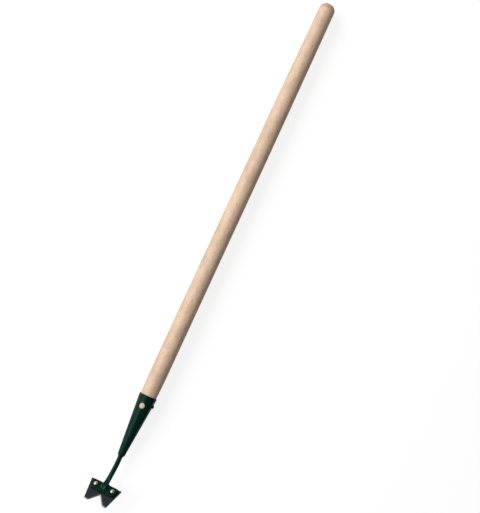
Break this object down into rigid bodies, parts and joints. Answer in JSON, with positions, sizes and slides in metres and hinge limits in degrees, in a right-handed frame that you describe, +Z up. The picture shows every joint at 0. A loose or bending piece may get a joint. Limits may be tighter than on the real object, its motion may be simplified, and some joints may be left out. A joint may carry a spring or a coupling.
{
  "type": "scuffle hoe",
  "caption": "Long-handled scuffle hoe: wooden handle in a painted conical steel socket, bent bar neck, and a notched steel blade riveted to a welded plate.",
  "frame": {"origin": "bottom centre of the bounding box, on the ground the tool lies on", "axes": "+Y runs along the handle from the blade to the grip end, +Z is up. The tool lies as it does when put down: it is turned 39 degrees about the handle, so that the socket's rim, the handle and one top corner of the blade touch the ground, and its front, the side with the rivet heads, faces up and towards -X."},
  "size_m": [0.0632, 1.1156, 0.059],
  "materials": {
    "ash": "bare, finely sanded pale ash",
    "green_paint": "glossy dark green stoved paint",
    "painted_screw": "glossy dark green paint over a round steel head",
    "painted_weld": "glossy dark green paint over rippled weld metal",
    "dark_steel": "dark hardened sheet steel with a bright ground edge",
    "yellow_zinc": "yellow passivated zinc plate"
  },
  "bodies": {
    "root": {"handle": "ash", "socket": "green_paint", "handle_screw": "painted_screw", "neck": "green_paint", "socket_weld": "painted_weld", "foot_weld": "painted_weld", "mounting_plate": "green_paint", "blade": "dark_steel", "rivet_left": "yellow_zinc", "rivet_right": "yellow_zinc"}
  },
  "joints": []
}
